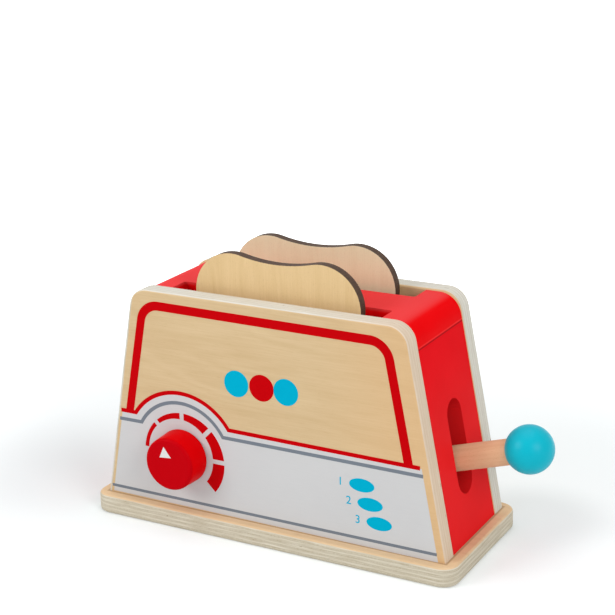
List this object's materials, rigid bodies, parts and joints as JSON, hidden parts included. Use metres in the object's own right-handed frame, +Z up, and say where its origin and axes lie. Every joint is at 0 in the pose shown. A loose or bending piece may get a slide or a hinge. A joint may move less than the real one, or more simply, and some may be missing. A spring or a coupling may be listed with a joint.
{
  "type": "toy toaster",
  "caption": "Wooden toy toaster whose side lever, tipped with a ball, works a see-saw lift that raises slices of toast in their slots; a dial knob turns on the front.",
  "frame": {"origin": "middle of the base board's underside", "axes": "+X along the body towards the lever's ball, -Y towards the front with the knob, +Z up"},
  "size_m": [0.2794, 0.1074, 0.1693],
  "materials": {
    "birch_plywood": "matt clear lacquer",
    "pale_wood": "bare, sanded",
    "red_painted_wood": "satin red paint",
    "knob_red": "glossy red paint",
    "turquoise_painted_wood": "satin turquoise paint",
    "golden_toast": "matt clear lacquer with browned edges",
    "light_toast": "matt clear lacquer with browned edges",
    "steel": "zinc plated",
    "red_ink": "matt screen print on the front panel",
    "turquoise_ink": "matt screen print on the front panel",
    "silver_ink": "matt screen print on the front panel",
    "grey_ink": "matt screen print on the front panel",
    "white_ink": "matt white inlay in the knob"
  },
  "bodies": {
    "housing": {"base_board": "birch_plywood", "front_panel": "birch_plywood", "rear_panel": "birch_plywood", "left_end_panel": "red_painted_wood", "right_end_panel": "red_painted_wood", "top_cover": "red_painted_wood", "front_divider": "pale_wood", "rear_divider": "pale_wood", "pivot_pin": "steel", "pivot_washers": "steel", "base_screws": "steel", "panel_dowels": "pale_wood", "cover_dowels": "pale_wood"},
    "lever": {"lever_rocker": "pale_wood", "lever_rod": "pale_wood", "lever_ball": "turquoise_painted_wood"},
    "lift": {"lift_rail_front": "pale_wood", "lift_rail_rear": "pale_wood", "lift_cross_bars": "pale_wood"},
    "front_slice": {"front_toast": "golden_toast"},
    "rear_slice": {"rear_toast": "light_toast"},
    "knob": {"timer_knob": "knob_red", "knob_screw": "steel", "knob_washer": "steel"}
  },
  "joints": [
    {"name": "lever_swing", "type": "hinge", "parent": "housing", "child": "lever", "pos_m": [0.04, 0, 0.0383], "axis": [0, -1, 0], "range_deg": [-9.8, 19.2]},
    {"name": "lift_travel", "type": "slide", "parent": "housing", "child": "lift", "axis": [0, 0, 1], "range_m": [-0.0132, 0.0068]},
    {"name": "front_toast_pull", "type": "slide", "parent": "lift", "child": "front_slice", "axis": [0, 0, 1], "range_m": [0, 0.13]},
    {"name": "rear_toast_pull", "type": "slide", "parent": "lift", "child": "rear_slice", "axis": [0, 0, 1], "range_m": [0, 0.13]},
    {"name": "knob_turn", "type": "hinge", "parent": "housing", "child": "knob", "pos_m": [-0.0571, -0.05, 0.0456], "axis": [0, -1, 0], "continuous": true}
  ],
  "couplings": [
    {"joint": "lift_travel", "follows": "lever_swing", "m_per_rad": -0.0392}
  ]
}
